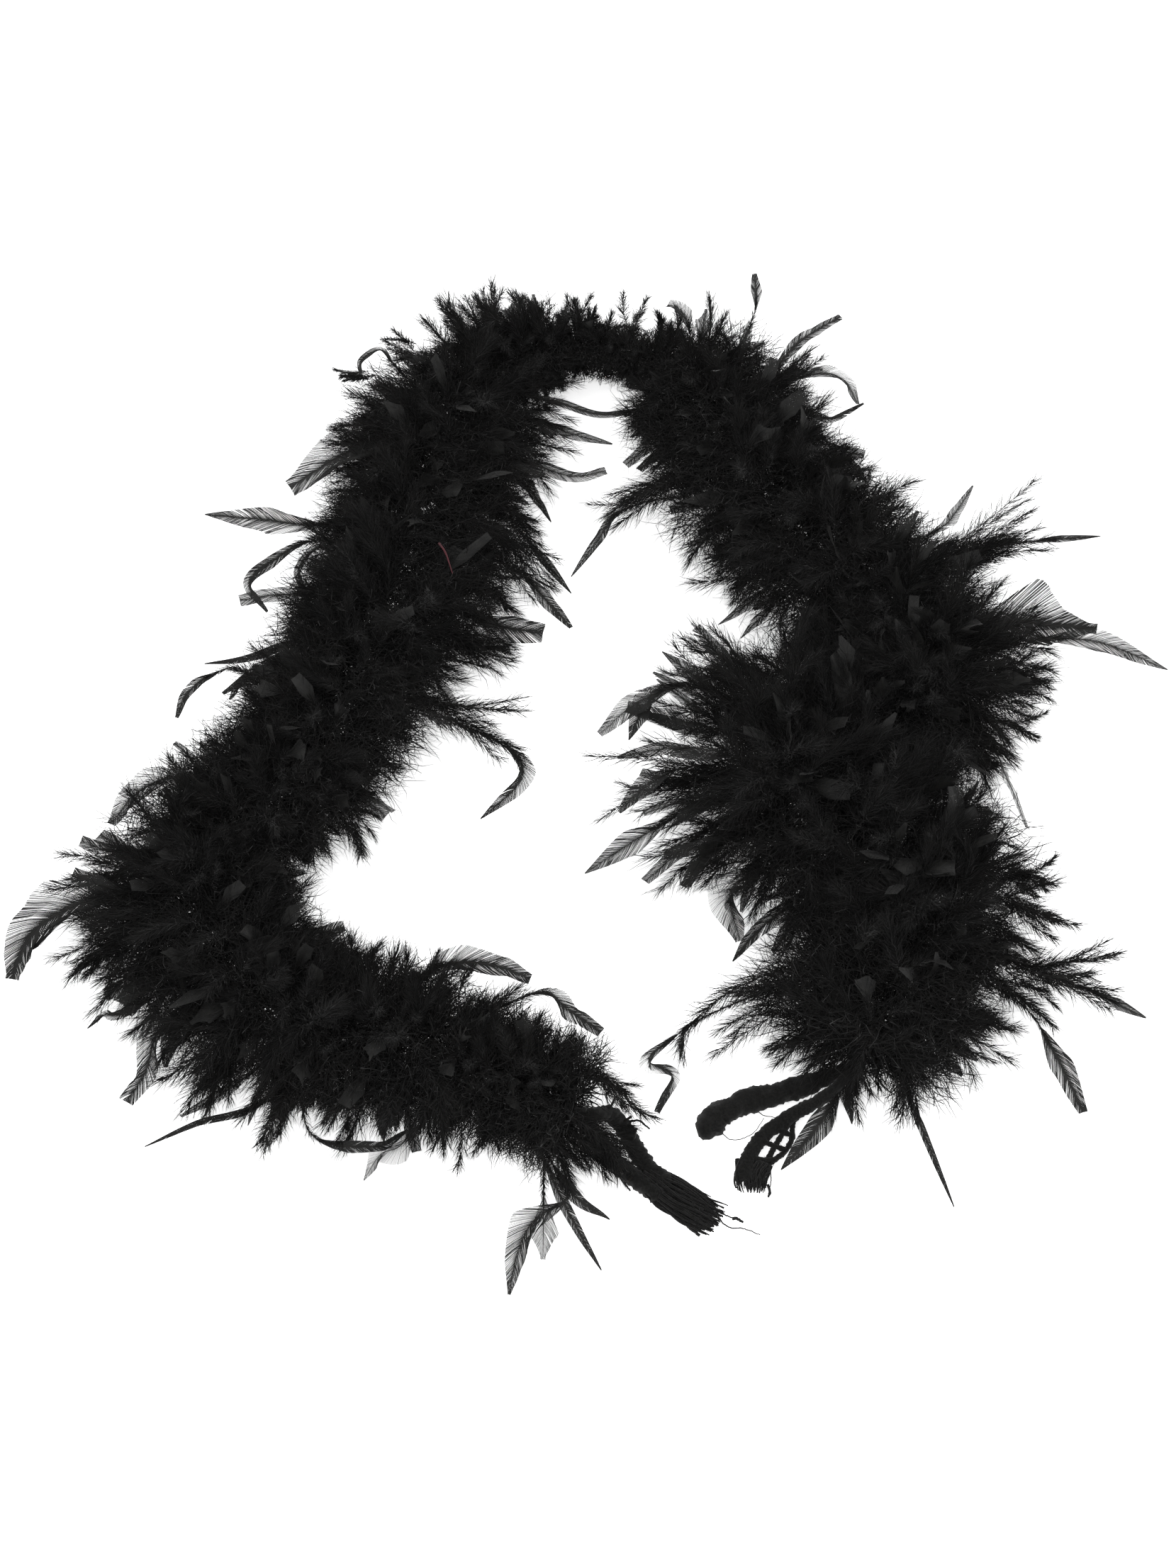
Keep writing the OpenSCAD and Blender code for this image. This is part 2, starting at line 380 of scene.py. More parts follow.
def smooth_path(rows, step=1.5):
    """Even steps, in metres, along a smooth curve through points given in mm."""
    rows = np.array(rows, float) * MM
    ends = np.concatenate([[2 * rows[0] - rows[1]], rows, [2 * rows[-1] - rows[-2]]])
    t = np.linspace(0, 1, 12, endpoint=False)[:, None]
    parts = [
        b + (c - a) * t / 2 + (2 * a - 5 * b + 4 * c - d) * t**2 / 2 + (3 * (b - c) + d - a) * t**3 / 2
        for a, b, c, d in zip(ends[:-3], ends[1:-2], ends[2:-1], ends[3:])
    ]
    dense = np.concatenate(parts + [rows[-1:]])
    length = lengths_along(dense)
    s = np.linspace(0, length[-1], max(6, round(length[-1] / (step * MM)) + 1))
    return np.stack([np.interp(s, length, dense[:, i]) for i in range(3)], -1)


def lengths_along(line):
    return np.concatenate([[0], np.cumsum(np.linalg.norm(np.diff(line, axis=0), axis=1))])


def cross_directions(line):
    """Directions along, across and above a line."""
    ahead = unit(np.gradient(line, axis=0))
    across = unit(np.cross(ahead, UP))
    return ahead, across, np.cross(across, ahead)


def add_rope(heap, line, wide, high, plies, pitch, rng, kind=0, sides=16, rough=0.05, groove=0.2):
    """A rope of twisted plies: an oval section whose grooves turn as it goes, blunt at both ends."""
    _, across, above = cross_directions(line)
    turn = np.arange(sides) * 2 * math.pi / sides
    lobes = turn[None, :] - 2 * math.pi * lengths_along(line)[:, None] / (pitch * MM)
    section = 1 - groove * (1 - np.abs(np.cos(lobes * plies / 2)))
    bumps = rng.normal(size=section.shape)
    section += rough * (bumps + np.roll(bumps, 1, 0) + np.roll(bumps, 1, 1)) / 1.7
    x = wide[:, None] * np.cos(turn) * section
    y = high[:, None] * np.sin(turn) * section
    points = line[:, None] + across[:, None] * x[..., None] + above[:, None] * y[..., None]
    ring = (np.arange(len(line) - 1) * sides)[:, None]
    here = np.arange(sides)[None, :]
    after = (here + 1) % sides
    quads = np.stack([ring + here, ring + after, ring + sides + after, ring + sides + here], -1)
    k = np.arange(1, sides - 1)
    last = (len(line) - 1) * sides
    caps = np.concatenate([
        np.stack([k * 0, k + 1, k], -1), np.stack([k * 0 + last, last + k, last + k + 1], -1),
    ])
    heap.add(rest_on_floor(points, 3 * MM), quads, caps, kind)


def blunted(line, half, share=1.0):
    """How much of a rope's thickness is left near its end, which is round."""
    left = lengths_along(line)[-1] - lengths_along(line)
    return np.sqrt(np.clip(1 - (1 - np.clip(left / (half * share), 0, 1)) ** 2, 0.02, 1))


def add_lint(heap, line, wide, long, count, rng, kind=0):
    """Short loose fibres that stand off a rope."""
    pick_at = rng.integers(0, len(line), count)
    _, across, above = cross_directions(line)
    angle = rng.uniform(0, 2 * math.pi, (count, 1))
    out = across[pick_at] * np.cos(angle) + above[pick_at] * np.sin(angle)
    start = line[pick_at] + out * wide[pick_at, None] * 0.8
    way = unit(out + rng.normal(0, 0.8, (count, 3)))
    bent = unit(way + rng.normal(0, 0.7, (count, 3)))
    reach = rng.uniform(0.3, 1, (count, 1)) * long * MM
    lines = np.stack([start, start + way * reach, start + (way + bent) * reach], 1)
    sides = unit(np.cross(way, unit(rng.normal(size=way.shape))))[:, None]
    halves = np.broadcast_to(np.array([0.12, 0.09, 0]) * MM, (count, 3))
    add_ribbons(heap, rest_on_floor(lines), sides, halves, True, kind)


def add_yarns(heap, line, wide, high, count, thick, rng, kind=0, uneven=0.2):
    """Loose yarns side by side along a line, with ends at different lengths."""
    _, across, above = cross_directions(line)
    place = rng.normal(0, 0.5, (count, 2))
    place /= np.maximum(np.linalg.norm(place, axis=1, keepdims=True), 1)
    q = len(line)
    t = np.linspace(0, 1, q)
    stop = 1 + uneven * rng.uniform(-1, 0.35, count)
    at = t[None, :] * stop[:, None] * (q - 1)
    i = np.minimum(at.astype(int), q - 2)
    f = (at - i)[..., None]
    middle = line[i] * (1 - f) + line[i + 1] * f
    sway = 0.12 * np.sin(rng.uniform(0, 6, (count, 1)) + t[None, :] * rng.uniform(3, 9, (count, 1)))
    x = (place[:, :1] + sway) * wide[i]
    y = (place[:, 1:] + sway) * high[i]
    lines = middle + across[i] * x[..., None] + above[i] * y[..., None]
    radii = thick * MM * (1 - 0.5 * t[None, :] ** 3) * rng.uniform(0.7, 1.3, (count, 1))
    add_tubes(heap, rest_on_floor(lines, 3 * MM), radii, 5, kind)


# ---------------------------------------------------------------- the line of the strings

def make_line(cut=28.0, step=3.0):
    """The strings' middle line with rounded corners: points, bunch numbers and tangents."""
    rows, bunches = [], []
    for k in range(1, len(STATIONS)):
        a, b = STATIONS[k - 1], STATIONS[k]
        length = np.linalg.norm(b - a)
        ahead = (b - a) / length
        for d in np.arange(step / 2, length, step):
            p = a + ahead * d
            for j, gap in ((k - 1, d), (k, length - d)):
                if gap < cut and 0 < j < len(STATIONS) - 1:
                    before = unit(STATIONS[j] - STATIONS[j - 1])
                    after = unit(STATIONS[j + 1] - STATIONS[j])
                    share = 0.5 * (1 + gap / cut) if j == k - 1 else 0.5 * (1 - gap / cut)
                    p = STATIONS[j] - before * cut * (1 - share) ** 2 + after * cut * share**2
            rows.append([p[0] * MM, p[1] * MM, STRING_Z])
            bunches.append(k)
    points = np.array(rows)
    ahead = unit(np.gradient(points, axis=0))
    return points, np.array(bunches), ahead, lengths_along(points)


LINE, LINE_BUNCH, LINE_AHEAD, LINE_LENGTH = make_line()


def on_line(s):
    """Points and tangents of the strings' middle line at lengths s."""
    p = np.stack([np.interp(s, LINE_LENGTH, LINE[:, i]) for i in range(3)], -1)
    t = np.stack([np.interp(s, LINE_LENGTH, LINE_AHEAD[:, i]) for i in range(3)], -1)
    return p, unit(t)


# ---------------------------------------------------------------- feathers

class Shafts:
    """The shafts of several feathers: points, directions and the two cross directions."""

    def __init__(self, points, facing):
        self.points = points
        self.ahead = unit(np.gradient(points, axis=1))
        self.side = unit(np.cross(self.ahead, facing[:, None, :]))
        self.face = np.cross(self.side, self.ahead)
        self.length = np.linalg.norm(np.diff(points, axis=1), axis=2).sum(1)

    def at(self, share):
        """Points, directions, sides and faces at shares (n, m) of each shaft's length."""
        n, q, _ = self.points.shape
        x = np.clip(share, 0, 1) * (q - 1)
        i = np.minimum(x.astype(int), q - 2)
        f = (x - i)[..., None]
        row = np.arange(n)[:, None]
        return [
            a[row, i] * (1 - f) + a[row, i + 1] * f
            for a in (self.points, self.ahead, self.side, self.face)
        ]


def grow_shafts(root, along, aim, bend, length, wobble, rng, steps=12):
    """Shafts that start along the strings, turn to aim, and bend as they go."""
    t = np.linspace(0, 1, steps)[None, :, None]
    turn = np.clip(t / 0.16, 0, 1)
    turn = turn * turn * (3 - 2 * turn)
    way = aim[:, None] + bend[:, None] * t**1.4
    way = unit(along[:, None] * (1 - turn) + way * turn)
    phase = rng.uniform(0, 2 * math.pi, (len(root), 1, 1))
    sway = unit(rng.normal(size=root.shape))[:, None]
    way = unit(way + sway * wobble * np.sin(phase + t * 5.5))
    points = np.cumsum(way, axis=1) * (length / steps)[:, None, None]
    return rest_on_floor(root[:, None] + points - points[:, :1])


def add_down(heap, shafts, start, stop, reach, count, rng, kind=0, spread=0.75, width=0.17):
    """Loose barbs on both sides of each shaft, longest a third of the way up."""
    n = len(shafts.points)
    share = (np.arange(count)[None, :] + rng.random((n, count))) / count
    s = start[:, None] + (stop - start)[:, None] * share
    p, ahead, side, face = shafts.at(s)
    sign = np.where(np.arange(count) % 2, 1.0, -1.0)[None, :, None]
    roll = rng.normal(0, spread, (n, count, 1))
    out = side * sign * np.cos(roll) + face * np.sin(roll)
    lean = np.radians(rng.normal(50, 12, (n, count, 1)) - 30 * share[..., None])
    way = unit(ahead * np.cos(lean) + out * np.sin(lean))
    profile = np.minimum(share / 0.22, 1) ** 0.6 * (1 - share * 0.45)
    long = reach[:, None] * profile * rng.uniform(0.55, 1.12, (n, count))
    third = (long / 3)[..., None]
    stray = rng.normal(0, 0.24, (3, n, count, 3))
    a = unit(way + 0.25 * stray[0])
    b = unit(way + 0.30 * ahead + stray[1])
    c = unit(way + 0.50 * ahead + 1.3 * stray[2] - 0.2 * UP)
    lines = np.stack([p, p + a * third, p + (a + b) * third, p + (a + b + c) * third], 2)
    lines = rest_on_floor(lines.reshape(-1, 4, 3))
    sides = unit(np.cross(b, unit(rng.normal(size=b.shape)))).reshape(-1, 1, 3)
    taper = np.array([1.0, 1.0, 0.72, 0.0]) * width * MM
    halves = np.broadcast_to(taper, (len(lines), 4)) * rng.uniform(0.8, 1.25, (len(lines), 1))
    add_ribbons(heap, lines, sides, halves, True, kind)


def vane_half_width(v, blunt):
    """Half the vane's width, as a share of the widest, from its foot to its tip."""
    rise = np.clip(v / 0.34, 0, 1) ** 0.75
    fall = 1 - np.clip((v - 0.34) / 0.66, 0, 1) ** 1.7
    square = 1 - 0.28 * np.clip((v - 0.34) / 0.66, 0, 1) ** 1.3
    return rise * (fall * (1 - blunt) + square * blunt)


def add_vane(heap, shafts, start, width, blunt, rng, kind=0, gap=0.5, cover=0.96):
    """Closed barbs in one surface, slanting forward from both sides of each shaft."""
    n = len(shafts.points)
    vane = shafts.length * (1 - start)
    count = max(8, int(vane.max() / (gap * MM)))
    v = (np.arange(count)[None, :] + 0.5) / count * np.ones((n, 1))
    p, ahead, side, face = shafts.at(start[:, None] + (1 - start)[:, None] * v)
    for sign in (1.0, -1.0):
        split = np.cumsum(rng.random((n, count)) < 0.018, axis=1)
        tilt = rng.normal(0, 0.05, (n, count + 1))
        tilt = np.take_along_axis(tilt, split, 1)
        lean = np.radians(34) + tilt + rng.normal(0, 0.012, (n, count))
        reach = width[:, None] * vane_half_width(v, blunt[:, None])
        ahead_by = reach / np.tan(lean) / vane[:, None]
        reach = width[:, None] * vane_half_width(np.minimum(v + ahead_by * 0.8, 1), blunt[:, None])
        long = reach / np.sin(lean) + 0.6 * MM
        longest = (1 - v) * vane[:, None] / np.cos(lean) * rng.uniform(0.97, 1.03, (n, count))
        long = np.minimum(long, longest + 0.3 * MM)[..., None]
        lean = lean[..., None]
        way = unit(ahead * np.cos(lean) + side * sign * np.sin(lean) + face * 0.05)
        curl = unit(way + ahead * 0.22 - face * 0.16)
        lines = np.stack([p, p + way * long / 2, p + (way + curl) * long / 2], 2)
        lines = rest_on_floor(lines.reshape(-1, 3, 3))
        sides = unit(np.cross(way, face)).reshape(-1, 1, 3)
        wide = (vane[:, None] / count * np.sin(lean[..., 0]) * cover / 2).reshape(-1, 1)
        halves = wide * np.array([1.04, 0.96, 1.06]) * rng.uniform(0.86, 1.12, (len(wide), 1))
        add_ribbons(heap, lines, sides, halves, False, kind)


def add_shafts(heap, shafts, thick, thin, kind=0, sides=4):
    """The shafts themselves, from a thick foot to a thin tip."""
    q = shafts.points.shape[1]
    t = np.linspace(0, 1, q)
    radii = (thick * (1 - t) ** 1.3 + thin * t) * MM
    add_tubes(heap, shafts.points, np.broadcast_to(radii, (len(shafts.points), q)), sides, kind)


def bunch_feathers(k, rng, per_mm=0.8):
    """Shafts of one bunch's feathers, which stand all round the strings in ragged clumps."""
    rows = np.flatnonzero(LINE_BUNCH == k)
    low, high = LINE_LENGTH[rows[0]], LINE_LENGTH[rows[-1]]
    outer, inner = REACHES[k - 1]
    turning = np.gradient(LINE_AHEAD, axis=0) / np.gradient(LINE_LENGTH)[:, None]
    crowding = 1 + 0.05 * np.linalg.norm(turning[rows], axis=1)
    share = np.concatenate([[0], np.cumsum(crowding)]) / crowding.sum()
    n = int((high - low) / MM * per_mm * crowding.mean())
    s = np.interp((np.arange(n) + rng.random(n)) / n, share, np.linspace(low, high, len(share)))
    p, ahead = on_line(s)
    bow = np.stack([np.interp(s, LINE_LENGTH, turning[:, i]) for i in range(3)], -1)
    left = np.cross(UP, ahead)
    angle = np.arange(n) * GOLDEN_ANGLE + rng.normal(0, 0.3, n)
    out = left * np.cos(angle)[:, None] + UP * np.sin(angle)[:, None]
    out[:, 2] = np.where(out[:, 2] < 0, out[:, 2] * 0.3, out[:, 2])
    out = unit(out)
    side = np.sum(out * left, 1)
    clump = np.floor(s / CLUMP + 0.5 * (side > 0))
    middle = (clump + 0.5 - 0.5 * (side > 0)) * CLUMP
    vigour = CLUMP_RNG.uniform(0.72, 1.22, (2, 200))[(side > 0).astype(int), clump.astype(int)]
    past = END_LEAN * (np.exp(-s / END_REACH) - np.exp((s - LINE_LENGTH[-1]) / END_REACH))
    lean = rng.normal(0, 0.3, n) * (1 - np.abs(past)) + past + (middle - s) / CLUMP_PULL
    aim = unit(out + ahead * lean[:, None])
    rise = np.maximum(out[:, 2:3], 0)
    bend = rng.normal(0, 0.34, (n, 3)) - UP * (0.1 + 0.3 * rise)
    bend = bend + left * rng.normal(0, 1, (n, 1)) * rise
    radius = (outer + inner) / 2 + (outer - inner) / 2 * np.clip(side * 1.4, -1, 1)
    length = radius * MM * rng.uniform(0.78, 1.06, n) * vigour * (1 - 0.25 * rise[:, 0])
    length *= 1 - END_SHORTER * np.abs(past) / END_LEAN
    length = np.minimum(length, TALLEST / np.maximum(out[:, 2], 0.1))
    length *= 1 + 0.003 * np.clip(-np.sum(out * bow, 1), 0, 40)
    root = p + out * 5.2 * MM
    along = ahead * np.sign(lean)[:, None] + out * 0.25
    points = grow_shafts(root, along, aim, bend, length, 0.12, rng)
    facing = unit(UP + rng.normal(0, 0.55, (n, 3)))
    return points, facing, n


def add_filling(heap, k, count, rng):
    """Matted down round the strings, which closes the middle of the bunch."""
    rows = np.flatnonzero(LINE_BUNCH == k)
    p, ahead = on_line(rng.uniform(LINE_LENGTH[rows[0]], LINE_LENGTH[rows[-1]], count))
    left = np.cross(UP, ahead)
    outer, inner = REACHES[k - 1]
    angle = rng.uniform(0, 2 * math.pi, count)
    far = np.sqrt(rng.random(count)) * 0.78
    x = np.cos(angle) * far
    x = np.where(x > 0, x * outer, x * inner)[:, None] * MM
    high = np.where(np.sin(angle) > 0, 0.42 * (outer + inner) / 2, 32)
    z = (np.sin(angle) * far * high)[:, None] * MM
    start = p + left * x + UP * z
    way = unit(left * np.sign(x) * (0.3 + far[:, None]) + rng.normal(0, 0.7, (count, 3)) * [1, 1, 0.6])
    bent = unit(way + rng.normal(0, 0.6, (count, 3)))
    last = unit(bent + rng.normal(0, 0.6, (count, 3)))
    third = rng.uniform(6, 12, (count, 1)) * min((outer + inner) / 130, 1.1) * MM
    lines = np.stack(
        [start, start + way * third, start + (way + bent) * third,
         start + (way + bent + last) * third], 1
    )
    sides = unit(np.cross(bent, unit(rng.normal(size=way.shape))))[:, None]
    halves = np.array([0.7, 1, 0.75, 0]) * (0.62 - 0.55 * far[:, None]) * MM
    add_ribbons(heap, rest_on_floor(lines), sides, halves, True)


def barb_reach(shafts, rng):
    """Longest barbs of each feather, shorter on a short feather."""
    return rng.uniform(0.4, 0.6, len(shafts.points)) * np.minimum(shafts.length, 66 * MM)


def pick(points, facing, which):
    return Shafts(points[which], facing[which])


def make_bunch(k, materials):
    """One bunch in place of its CAD flats: soft feathers, feet and filling, vanes, and quills."""
    rng = np.random.default_rng(100 + k)
    down, fluff, vanes, quills = Heap(), Heap(), Heap(), Heap()
    points, facing, n = bunch_feathers(k, rng)
    vaned = rng.random(n) < VANED
    soft = pick(points, facing, ~vaned)
    m = len(soft.points)
    add_down(down, soft, np.full(m, 0.10), np.full(m, 0.99), barb_reach(soft, rng), SOFT_BARBS, rng)
    add_shafts(quills, soft, 0.5, 0.08)
    half = pick(points, facing, vaned)
    m = len(half.points)
    start = rng.uniform(0.45, 0.62, m)
    reach = 0.9 * barb_reach(half, rng)
    add_down(fluff, half, np.full(m, 0.10), start + 0.06, reach, FOOT_BARBS, rng)
    add_vane(vanes, half, start, rng.uniform(4.5, 8, m) * MM, rng.choice([0.0, 0.2, 0.95], m), rng)
    add_shafts(quills, half, 0.6, 0.12)
    add_filling(fluff, k, FILLING_BARBS, rng)
    body = BODY_OF[k]
    for heap, name, material, slot in (
        (down, "down", "down", "feather_down"), (fluff, "fluff", "down", "feather_down"),
        (vanes, "vanes", "vanes", "feather_vane"), (quills, "quills", "quills", "quill"),
    ):
        piece = heap.build(f"{name}_{k:02d}", [materials[material]])
        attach(piece, body)
        if name in ("down", "fluff"):
            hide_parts(f"feathers_{k:02d}")


# ---------------------------------------------------------------- bare tails

LEFT_TAIL_A = [
    [-27, -299, 37], [-14, -300, 35], [-5, -296, 26], [3, -299, 15], [10, -309, 9],
    [16, -319, 7], [24, -328, 6], [34, -335, 6],
]
LEFT_TAIL_B = [
    [-27, -299, 31], [-16, -306, 25], [-8, -316, 14], [1, -323, 8], [10, -329, 6],
    [19, -336, 6], [29, -344, 6],
]
LEFT_BRUSH = [[16, -328, 6], [28, -337, 6], [42, -346, 6], [52, -352, 5], [60, -356, 5]]
RIGHT_FOLD = [
    [151, -260, 31], [138, -267, 24], [124, -270, 15], [110, -272, 9], [97, -276, 8],
    [84, -279, 8], [73, -284, 8], [62, -290, 8], [57, -300, 8], [58, -305, 8],
]
RIGHT_STRAND = [
    [151, -260, 37], [139, -276, 30], [126, -284, 20], [113, -288, 11], [101, -294, 6],
    [90, -303, 5], [83, -313, 5], [79, -323, 5], [79, -332, 5],
]
# The open chain stitches beside the right strand
RIGHT_LOOPS = [
    [[115, -287, 12], [110, -294, 6], [109, -303, 5], [105, -311, 4], [98, -317, 4], [92, -322, 4],
     [88, -332, 4]],
    [[110, -290, 9], [103, -301, 6], [98, -309, 5], [92, -319, 4], [84, -331, 4]],
    [[98, -296, 7], [104, -300, 6], [109, -301, 5]],
    [[88, -305, 6], [96, -308, 6], [105, -311, 4]],
    [[81, -315, 6], [89, -318, 6], [98, -317, 4]],
]
# The two soft ends of the right strand
RIGHT_ENDS = [
    [[80, -318, 5], [78, -328, 5], [79, -336, 4]],
    [[91, -320, 5], [87, -329, 5], [86, -337, 4]],
]
# Loose threads: their routes and half thicknesses in mm
LEFT_THREADS = [
    [[[58, -350, 6], [68, -354, 4], [75, -356, 3]], 0.5],
    [[[70, -355, 3], [73, -355, 3], [77, -357, 2]], 1.1],
    [[[58, -352, 6], [67, -360, 3], [77, -361, 2], [87, -365, 2]], 0.45],
    [[[24, -342, 6], [36, -354, 5], [50, -366, 3]], 1.5],
    [[[30, -344, 6], [42, -356, 4], [48, -361, 3]], 0.9],
    [[[6, -325, 8], [4, -331, 5], [8, -337, 3]], 0.8],
    [[[4, -298, 16], [13, -297, 18], [20, -302, 17]], 0.8],
]
RIGHT_THREADS = [
    [[[94, -319, 5], [95, -329, 3], [93, -339, 2]], 0.35],
    [[[93, -333, 3], [94, -337, 2], [93, -341, 2]], 0.9],
    [[[60, -292, 8], [70, -303, 3], [84, -300, 3], [92, -291, 8]], 0.3],
    [[[84, -275, 9], [90, -286, 4], [100, -290, 6]], 0.35],
]


def tail_sizes(line, shares, sizes):
    """Half sizes in metres along a line, from sizes in mm at shares of its length."""
    s = lengths_along(line)
    return np.interp(s / s[-1], shares, sizes) * MM


def add_threads(heap, rows, rng, kind):
    """Single loose threads that thin a little towards their ends."""
    for route, thick in rows:
        line = smooth_path(route, 1.0)
        radii = thick * MM * (1 - 0.35 * np.linspace(0, 1, len(line)) ** 2)
        line = line + rng.normal(0, 0.12 * MM, line.shape)
        add_tubes(heap, rest_on_floor(line, 2 * MM)[None], radii[None], 6, kind)


def make_tail(name, node, route, shares, sizes, flat, plies, pitch, diameter, body, materials, seed):
    """One bare rough string that leaves the boa, built along its own route and riding on one body."""
    rng = np.random.default_rng(seed)
    line = smooth_path(route)
    wide = tail_sizes(line, shares, sizes)
    wide *= blunted(line, wide[-1])
    heap = Heap()
    add_rope(heap, line, wide, wide * flat, plies, pitch, rng, sides=20, rough=0.06)
    add_lint(heap, line, wide, 1.1, 700, rng, 1)
    piece = heap.build(name, [materials["cotton"], materials["thread"]])
    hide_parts(node)
    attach(piece, body)
    return piece, line, diameter


def make_left_tails(materials):
    """Two rough strands with a gap between them that meet in one flat frayed brush."""
    rng = np.random.default_rng(31)
    shares = [0, 0.15, 0.35, 0.6, 1]
    first = make_tail(
        "tail_left_a", "left_tail_strand_a", LEFT_TAIL_A, shares, [2.4, 4.4, 5.4, 6, 6.4],
        1.0, 3, 15, 0.0115, "left_lower", materials, 32,
    )
    second = make_tail(
        "tail_left_b", "left_tail_strand_b", LEFT_TAIL_B, shares, [2.4, 5.4, 6.6, 6.4, 6],
        1.0, 3, 13, 0.0125, "left_lower", materials, 33,
    )
    line = smooth_path(LEFT_BRUSH)
    wide = tail_sizes(line, [0, 0.3, 0.7, 1], [7, 10.5, 11.5, 11])
    high = tail_sizes(line, [0, 0.5, 1], [5.5, 4.5, 3.5])
    heap = Heap()
    add_yarns(heap, line, wide, high, 190, 0.75, rng)
    add_lint(heap, line, wide, 3, 260, rng, 1)
    for _, strand, _ in (first, second):
        inside = strand[len(strand) // 5:]
        add_lint(heap, inside, np.full(len(inside), 5.5 * MM), 2.6, 420, rng, 1)
    add_threads(heap, LEFT_THREADS, rng, 1)
    brush = heap.build("brush_left", [materials["cotton"], materials["thread"]])
    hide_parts("left_tail_brush")
    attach(brush, "left_lower")
    stubs = bpy.data.objects["left_quill_stubs"]
    stubs.material_slots[0].material = materials["quills"]


def make_right_tails(materials):
    """One thick folded end, and one flat strand whose chain stitches have come open."""
    rng = np.random.default_rng(41)
    fold = make_tail(
        "tail_right_fold", "right_tail_fold", RIGHT_FOLD, [0, 0.15, 0.35, 0.6, 1],
        [2.6, 4.5, 7.6, 8.2, 9.4], 0.8, 2, 70, 0.0165, "right_lower", materials, 42,
    )
    strand = make_tail(
        "tail_right_strand", "right_tail_strand", RIGHT_STRAND, [0, 0.2, 0.45, 1],
        [2.4, 3.6, 4.8, 5.2], 0.8, 3, 12, 0.0095, "right_lower", materials, 43,
    )
    heap = Heap()
    for route in RIGHT_LOOPS:
        line = smooth_path(route, 1.0)
        half = np.full(len(line), 1.9 * MM)
        add_rope(heap, line, half, half, 2, 5, rng, sides=10, rough=0.08)
        add_lint(heap, line, half, 1.5, 60, rng, 1)
    for route in RIGHT_ENDS:
        line = smooth_path(route, 1.0)
        size = np.full(len(line), 5.5 * MM)
        add_yarns(heap, line, size, size * 0.5, 60, 0.7, rng, uneven=0.4)
        add_lint(heap, line, size, 2.5, 120, rng, 1)
    add_threads(heap, RIGHT_THREADS, rng, 1)
    net = heap.build("net_right", [materials["cotton"], materials["thread"]])
    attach(net, "right_lower")


# ---------------------------------------------------------------- feather strings

def line_length_at(station):
    """Length along the strings at a station."""
    first = np.flatnonzero(LINE_BUNCH == station + 1)
    return LINE_LENGTH[first[0]] if len(first) else LINE_LENGTH[-1]


def add_strings(heap, start, stop, rng):
    """Two twisted strings that wind round each other, and the thread that whips them."""
    s = np.linspace(start, stop, max(8, int((stop - start) / (2 * MM))))
    p, _ = on_line(s)
    _, across, above = cross_directions(p)
    half = np.full(len(s), STRING_HALF)
    for turn in (0, math.pi):
        angle = turn + s[:, None] * 2 * math.pi / STRING_PITCH
        line = p + STRING_OFF * (above * np.cos(angle) + across * np.sin(angle))
        add_rope(heap, line, half, half, 2, 9, rng, 0, sides=12)
    s = np.linspace(start, stop, int((stop - start) / (0.5 * MM)))
    p, _ = on_line(s)
    _, across, above = cross_directions(p)
    angle = s[:, None] * 2 * math.pi / THREAD_PITCH
    line = p + THREAD_OFF * (above * np.cos(angle) + across * np.sin(angle))
    add_tubes(heap, line[None], np.full((1, len(line)), 0.5 * MM), 4, 1)
    add_lint(heap, p, np.full(len(p), 5 * MM), 4, int((stop - start) / MM * 3), rng, 1)


def make_strings(materials):
    """The strings in lengths that run from one body's middle to the next one's."""
    rng = np.random.default_rng(21)
    names = list(BODIES)
    middles = [sum(line_length_at(j) for j in span) / 2 for span in BODIES.values()]
    cuts = [0, *middles, LINE_LENGTH[-1]]
    for i in range(len(cuts) - 1):
        heap = Heap()
        add_strings(heap, cuts[i], cuts[i + 1], rng)
        piece = heap.build(f"strings_{i}", [materials["cotton"], materials["thread"]])
        if i < len(names):
            nodes = [f"{kind}_{names[i]}" for kind in ("string_a", "string_b", "stitch_thread")]
            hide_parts(*nodes)
        if 0 < i < len(names):
            hinge = line_length_at(BODIES[names[i]][0])
            ends, _ = on_line(np.array([hinge - 30 * MM, hinge + 30 * MM]))
            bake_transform(piece, names[i - 1], names[i], start=ends[0].tolist(), end=ends[1].tolist())
        else:
            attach(piece, names[0] if i == 0 else names[-1])


# ---------------------------------------------------------------- loose plumes

